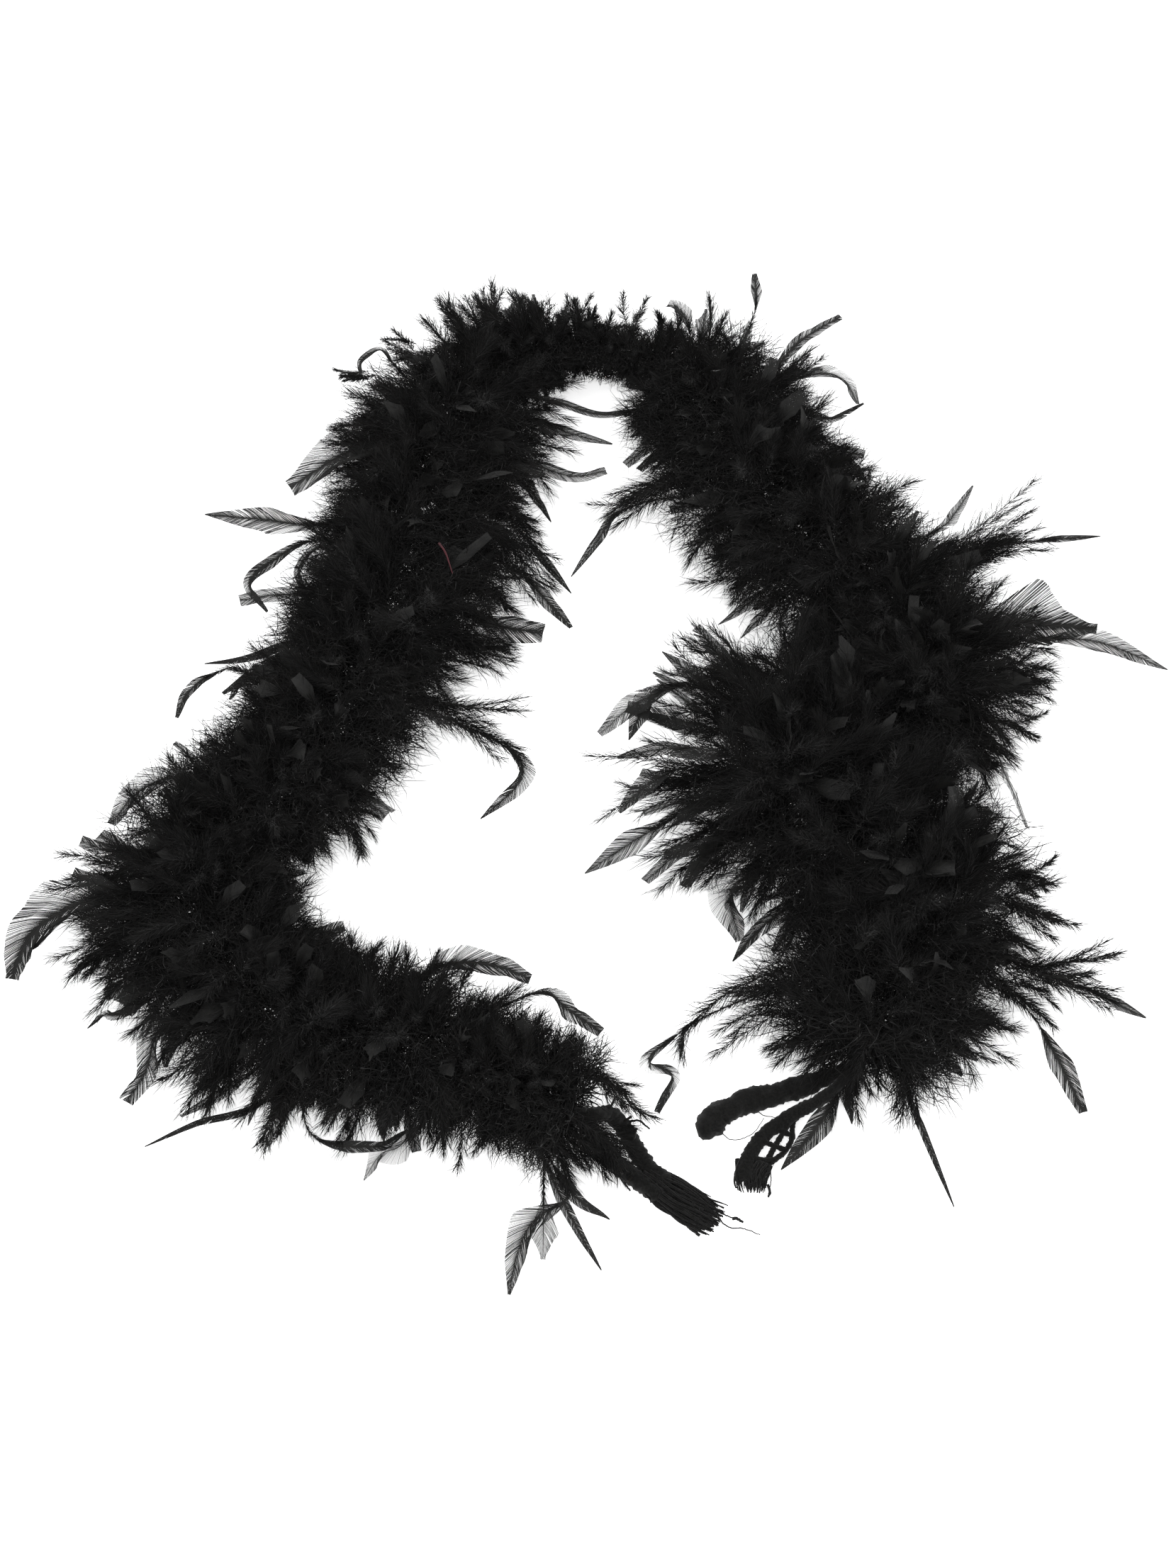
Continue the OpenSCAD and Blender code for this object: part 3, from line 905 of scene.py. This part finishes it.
# Long loose feathers: CAD node, widest in mm, where the vane starts, how blunt its tip is, how
# closed its barbs are, how far its down reaches in mm, and points in mm from root to tip
PLUMES = [
    ["left_lance", 22, 0.4, 0, 0.9, 26,
     [[-150, 160, 35], [-215, 155, 40], [-250, 160, 40], [-295, 165, 40]]],
    ["left_broad", 50, 0.15, 0.6, 1.1, 18,
     [[-135, 225, 40], [-170, 220, 50], [-200, 210, 50], [-235, 190, 40]]],
    ["far_left_hook", 42, 0.35, 0.3, 1.12, 26,
     [[-270, -165, 35], [-330, -150, 35], [-365, -160, 30], [-380, -180, 30], [-385, -205, 30]]],
    ["bottom_curl", 20, 0.52, 0.1, 0.88, 10,
     [[-65, -285, 35], [-45, -325, 20], [-30, -345, 15], [-50, -360, 15], [-60, -380, 15],
      [-65, -405, 10]]],
    ["bottom_point", 7, 0.35, 0, 0.95, 10,
     [[-60, -285, 35], [-40, -335, 20], [-25, -365, 15], [-10, -390, 10]]],
    ["right_tip", 18, 0.5, 0, 0.85, 20,
     [[210, 60, 35], [270, 60, 30], [335, 60, 30], [385, 35, 30]]],
    ["right_thin", 6, 0.7, 0, 0.95, 28,
     [[195, 100, 35], [260, 130, 40], [300, 140, 40], [350, 145, 40]]],
    ["right_lower_spray", 10, 0.75, 0.1, 0.9, 30,
     [[210, -170, 35], [260, -195, 30], [300, -210, 25], [335, -230, 25]]],
    ["club", 18, 0.6, 0.5, 1.02, 10,
     [[195, -190, 35], [255, -215, 20], [275, -250, 20], [290, -290, 15]]],
    ["long_shaft", 5, 0.3, 0, 1, 18,
     [[170, -235, 35], [180, -275, 20], [190, -305, 15], [205, -350, 10]]],
    ["inner_pointed", 18, 0.55, 0, 0.86, 20,
     [[120, -75, 35], [60, -75, 30], [20, -95, 25], [-20, -125, 25]]],
    ["inner_square", 18, 0.6, 0.4, 0.8, 20,
     [[120, -35, 35], [60, 15, 35], [20, 10, 30], [-10, -15, 25]]],
    ["inner_upper", 7, 0.6, 0, 0.9, 30,
     [[120, 180, 35], [45, 185, 35], [5, 175, 30], [-10, 155, 25], [-30, 120, 25]]],
    ["inner_grey", 13, 0.4, 0.8, 0.85, 16,
     [[-125, 230, 35], [-70, 220, 35], [-30, 205, 35], [-5, 210, 35]]],
    ["inner_hook", 14, 0.62, 0, 0.92, 34,
     [[-180, 15, 35], [-130, 0, 30], [-90, -15, 25], [-65, -35, 25], [-65, -55, 25], [-90, -80, 20]]],
    ["top_wisp", 9, 0.72, 0.5, 0.9, 12,
     [[75, 285, 35], [100, 330, 45], [110, 355, 55], [110, 385, 60]]],
    ["top_right_prong", 10, 0.4, 0.7, 0.95, 14,
     [[90, 255, 35], [135, 315, 50], [155, 335, 50], [175, 350, 50]]],
]
# The same for smaller loose feathers without a CAD node, by the body they are stitched to
ACCENTS = {
    "crown": [],
    "left_upper": [
        [9, 0.3, 0.4, 1, 18, [[-110, 290, 35], [-50, 280, 35], [-10, 265, 35], [25, 270, 35]]],
        [10, 0.5, 0.1, 0.85, 20, [[-110, 250, 35], [-65, 265, 30], [-30, 250, 30], [0, 240, 30]]],
        [8, 0.35, 0, 1, 12, [[-120, 225, 35], [-70, 210, 25], [-55, 190, 25], [-45, 170, 25]]],
        [7, 0.6, 0, 1, 22, [[-140, 165, 35], [-85, 175, 30], [-60, 150, 25], [-30, 105, 25]]],
        [12, 0.55, 0.3, 1, 26, [[-130, 150, 35], [-70, 125, 25], [-45, 95, 25], [-30, 75, 25]]],
        [24, 0.45, 0.9, 1, 14, [[-140, 100, 35], [-100, 80, 30], [-75, 75, 25], [-50, 70, 25]]],
        [5, 0.5, 0.6, 1, 10,
         [[-120, 290, 40], [-160, 305, 40], [-175, 325, 40], [-190, 315, 40], [-190, 300, 40]]],
        [9, 0.4, 0.2, 1, 20,
         [[-160, 135, 40], [-215, 145, 35], [-245, 130, 30], [-260, 110, 30], [-245, 85, 30]]],
        [8, 0.4, 0.2, 1, 16, [[-160, 110, 40], [-205, 140, 35], [-225, 125, 30], [-220, 100, 30]]],
        [18, 0.5, 0.9, 0.85, 18, [[-160, 75, 40], [-205, 95, 35], [-240, 100, 30], [-265, 95, 30]]],
    ],
    "left_middle": [
        [7, 0.4, 0, 1, 22, [[-165, 40, 40], [-205, 60, 35], [-255, 45, 30], [-285, 40, 30]]],
        [12, 0.4, 0.3, 1.1, 20, [[-165, 30, 40], [-205, 50, 35], [-240, 40, 30], [-270, 15, 30]]],
        [8, 0.65, 0.3, 0.95, 18,
         [[-200, -20, 40], [-255, 30, 35], [-280, 30, 30], [-295, 15, 30], [-300, -5, 30]]],
        [10, 0.6, 0.1, 0.9, 24, [[-190, -30, 35], [-220, 25, 35], [-255, 25, 30], [-265, 10, 30]]],
        [20, 0.35, 0.5, 0.85, 16, [[-250, -70, 35], [-290, -55, 35], [-320, -65, 30], [-335, -90, 30]]],
    ],
    "left_lower": [
        [5, 0.35, 0, 1, 20, [[-180, -240, 35], [-220, -285, 20], [-260, -300, 20], [-290, -315, 20]]],
        [8, 0.45, 0.2, 0.8, 10, [[-190, -240, 35], [-240, -275, 20], [-270, -295, 20]]],
        [16, 0.4, 0.9, 0.92, 14,
         [[-230, -220, 35], [-285, -235, 25], [-295, -265, 20], [-305, -285, 20]]],
        [7, 0.5, 0, 1, 14, [[-250, -190, 35], [-310, -225, 25], [-325, -225, 20], [-335, -235, 20]]],
        [8, 0.5, 0.2, 1, 12, [[-195, -255, 35], [-190, -305, 20], [-150, -315, 20], [-130, -305, 20]]],
        [16, 0.45, 0, 0.65, 16, [[-110, -265, 35], [-130, -310, 20], [-145, -320, 20], [-155, -335, 15]]],
        [14, 0.4, 0.7, 1, 14, [[-230, -215, 35], [-210, -195, 35], [-185, -175, 35], [-175, -170, 35]]],
        [18, 0.35, 0.5, 1.02, 18, [[-150, -245, 40], [-115, -200, 35], [-80, -195, 30], [-55, -205, 30]]],
        [12, 0.5, 0.8, 1, 20, [[-100, -245, 40], [-50, -215, 30], [-30, -225, 25], [-10, -240, 25]]],
        [20, 0.35, 0.2, 0.62, 10, [[-45, -325, 20], [-45, -355, 15], [-45, -385, 15]]],
        [8, 0.5, 0, 1, 8, [[-65, -285, 35], [-30, -340, 15], [-5, -360, 15]]],
    ],
    "right_upper": [
        [10, 0.4, 0.9, 0.85, 14, [[75, 270, 35], [35, 245, 30], [10, 220, 30]]],
        [10, 0.4, 0.9, 1.02, 14, [[75, 255, 35], [40, 235, 30], [20, 215, 30]]],
        [16, 0.45, 0.2, 0.86, 14, [[95, 270, 40], [150, 300, 40], [175, 300, 35], [185, 275, 35]]],
        [7, 0.4, 0.2, 1, 12, [[90, 270, 35], [145, 270, 30], [165, 265, 30], [190, 280, 30]]],
        [12, 0.6, 1, 1, 12, [[110, 235, 35], [150, 250, 30], [165, 235, 25], [165, 205, 25]]],
        [10, 0.6, 0.9, 1, 12, [[115, 225, 35], [160, 240, 30], [175, 230, 25], [185, 210, 25]]],
        [10, 0.4, 0.1, 0.8, 14, [[190, 125, 40], [235, 155, 35], [250, 175, 30], [265, 200, 30]]],
        [52, 0.18, 0.2, 1.15, 14, [[225, 50, 45], [275, 65, 45], [305, 70, 35], [340, 70, 30]]],
    ],
    "right_middle": [
        [12, 0.5, 0.8, 0.8, 12, [[180, -10, 40], [250, -25, 30], [265, -50, 25], [275, -90, 25]]],
        [18, 0.62, 0, 1, 20, [[110, -30, 40], [65, 15, 35], [35, 20, 30], [20, 5, 25], [10, -20, 25]]],
        [12, 0.5, 0.6, 1, 16, [[150, -80, 35], [80, -95, 30], [60, -110, 25], [45, -135, 25]]],
        [28, 0.45, 0.3, 0.85, 14, [[160, -100, 35], [95, -125, 30], [75, -140, 25], [80, -175, 25]]],
        [16, 0.4, 0, 1.02, 18, [[165, -110, 35], [115, -150, 30], [90, -170, 25], [75, -190, 25]]],
    ],
    "right_lower": [
        [4, 0.9, 0, 0.8, 32,
         [[190, -185, 35], [120, -195, 30], [75, -210, 25], [45, -235, 20], [40, -255, 20]]],
        [8, 0.55, 0.6, 1, 10,
         [[120, -200, 25], [60, -225, 20], [35, -240, 15], [20, -255, 15], [35, -265, 15],
          [25, -290, 15]]],
        [16, 0.35, 0, 1.02, 16, [[160, -245, 35], [140, -275, 25], [125, -300, 20], [100, -330, 20]]],
        [10, 0.4, 0, 1.02, 16, [[170, -245, 35], [145, -270, 25], [145, -300, 20]]],
    ],
}
# Tufts of soft feathers that break the outline, by body: root, tip and number of feathers
TUFTS = {
    "crown": [
        [[-90, 345, 35], [-110, 410, 35], 5], [[-85, 345, 35], [-95, 405, 35], 4],
        [[-110, 340, 35], [-140, 380, 30], 4], [[-50, 360, 30], [-70, 405, 30], 3],
        [[-25, 355, 30], [-30, 400, 30], 3], [[15, 350, 30], [15, 395, 30], 3],
    ],
    "right_upper": [
        [[50, 340, 30], [40, 385, 30], 3], [[125, 300, 35], [170, 330, 35], 4],
        [[60, 275, 35], [15, 265, 30], 3], [[50, 200, 35], [-15, 160, 30], 8],
        [[120, 140, 30], [60, 105, 30], 6], [[235, 125, 35], [315, 165, 35], 11],
        [[240, 120, 35], [290, 130, 30], 4],
    ],
    "left_upper": [
        [[-150, 325, 35], [-180, 345, 30], 4], [[-185, 300, 40], [-215, 305, 35], 5],
        [[-150, 265, 35], [-195, 260, 30], 3], [[-160, 230, 35], [-210, 235, 30], 5],
        [[-90, 290, 35], [-5, 270, 30], 4], [[-95, 190, 30], [-50, 150, 30], 6],
        [[-95, 165, 30], [-35, 105, 30], 6], [[-105, 125, 30], [-60, 80, 30], 6],
        [[-130, 65, 30], [-55, 50, 30], 8],
    ],
    "left_middle": [
        [[-140, 15, 30], [-65, -40, 30], 8], [[-195, -60, 30], [-160, -115, 30], 5],
    ],
    "left_lower": [
        [[-310, -125, 30], [-380, -130, 25], 6], [[-310, -165, 30], [-355, -210, 25], 8],
        [[-240, -245, 30], [-235, -295, 20], 5], [[-195, -270, 30], [-220, -330, 20], 5],
        [[-165, -280, 30], [-175, -320, 20], 4], [[-100, -280, 30], [-110, -330, 20], 5],
        [[-75, -285, 30], [-80, -330, 20], 4], [[-20, -270, 30], [30, -290, 20], 5],
        [[-115, -205, 35], [-95, -180, 30], 4], [[-30, -295, 40], [20, -320, 25], 6],
        [[-40, -300, 30], [0, -335, 15], 6], [[-50, -300, 30], [-15, -345, 15], 7],
    ],
    "right_middle": [
        [[110, 30, 35], [40, 40, 30], 6], [[105, 0, 30], [40, 0, 30], 5],
        [[95, -45, 30], [5, -50, 30], 8], [[270, 35, 30], [305, 10, 30], 4],
        [[265, -5, 30], [300, -15, 30], 3],
    ],
    "right_lower": [
        [[250, -195, 30], [325, -220, 25], 8], [[245, -200, 30], [285, -235, 25], 5],
        [[195, -235, 30], [255, -260, 25], 6], [[180, -245, 30], [185, -305, 25], 8],
        [[150, -245, 30], [150, -300, 25], 5], [[140, -230, 30], [80, -250, 25], 8],
        [[120, -205, 30], [45, -240, 20], 5], [[165, -235, 45], [100, -270, 25], 9],
        [[165, -240, 45], [125, -290, 25], 9], [[255, -130, 35], [295, -140, 30], 6],
        [[250, -150, 35], [295, -175, 30], 6],
    ],
}


def add_feather(heap, row, rng):
    """One loose feather along its own route: down at the foot, a vane above, and its shaft."""
    width, start, blunt, cover, reach, route = row
    points = rest_on_floor(smooth_path(route, 2.5))[None]
    facing = unit(UP + rng.normal(0, 0.3, (1, 3)))
    shaft = Shafts(points, facing)
    count = int(shaft.length[0] / MM * (start + 0.1) * 4.5)
    low, high, longest = np.array([[0.02], [start + 0.08], [reach * MM]])
    add_down(heap, shaft, low, high, longest, count, rng, 0)
    foot, half, square = np.array([[start], [width / 2 * MM], [blunt]])
    add_vane(heap, shaft, foot, half, square, rng, 1, gap=0.4, cover=1.12 * cover)
    add_shafts(heap, shaft, 0.8, 0.15, 2, 5)


def finish_feathers(heap, name, body, materials):
    """One piece of loose feathers that rides on a body."""
    piece = heap.build(name, [materials["down"], materials["vanes"], materials["quills"]])
    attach(piece, body)
    return piece


def make_plume(row, materials):
    """One long loose feather in place of its CAD node."""
    node = f"plume_{row[0]}"
    heap = Heap()
    add_feather(heap, row[1:], np.random.default_rng(500 + PLUMES.index(row)))
    body = body_of(bpy.data.objects[node])[0]
    piece = finish_feathers(heap, f"loose_{row[0]}", body, materials)
    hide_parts(node)


def add_tuft(heap, root, tip, count, rng):
    """Soft feathers that fan out from one place towards one tip."""
    root, tip = np.array(root) * MM, np.array(tip) * MM
    far = np.linalg.norm(tip - root)
    roots = root + rng.normal(0, 4, (count, 3)) * MM
    aim = unit(tip - roots + rng.normal(0, 0.2, (count, 3)) * far)
    length = far * rng.uniform(0.68, 1.0, count)
    points = grow_shafts(roots, aim, aim, rng.normal(0, 0.2, (count, 3)), length, 0.1, rng)
    shafts = Shafts(points, unit(UP + rng.normal(0, 0.4, (count, 3))))
    reach = np.minimum(0.42 * length, 26 * MM)
    add_down(heap, shafts, np.full(count, 0.05), np.full(count, 0.99), reach, TUFT_BARBS, rng)
    add_shafts(heap, shafts, 0.4, 0.08, 2)


def make_accents(body, materials):
    """The smaller loose feathers and the tufts of one body."""
    heap = Heap()
    for i, row in enumerate(ACCENTS[body]):
        add_feather(heap, row, np.random.default_rng(600 + len(body) * 20 + i))
    rng = np.random.default_rng(900 + len(body))
    for root, tip, count in TUFTS[body]:
        add_tuft(heap, root, tip, count, rng)
    finish_feathers(heap, f"small_loose_{body}", body, materials)


def make_red_quill(material):
    """One bare quill that kept a dark red dye, lying in the down of the left leg."""
    heap = Heap()
    line = smooth_path([[-120, 95, 95], [-115, 85, 97], [-110, 70, 94]], 1.5)
    radii = np.linspace(0.9, 0.3, len(line))[None] * MM
    add_tubes(heap, line[None], radii, 6)
    piece = heap.build("red_quill", [material])
    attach(piece, "left_upper")


# ---------------------------------------------------------------- assembly

make_camera()
make_studio()
MATERIALS = {
    "down": down_material(), "vanes": vane_material(), "quills": quill_material(),
    "cotton": cotton_material(), "thread": thread_material(),
}
make_left_tails(MATERIALS)
make_right_tails(MATERIALS)
make_strings(MATERIALS)
for number in range(1, len(STATIONS)):
    make_bunch(number, MATERIALS)
for row in PLUMES:
    make_plume(row, MATERIALS)
for name in BODIES:
    make_accents(name, MATERIALS)

make_red_quill(red_quill_material())
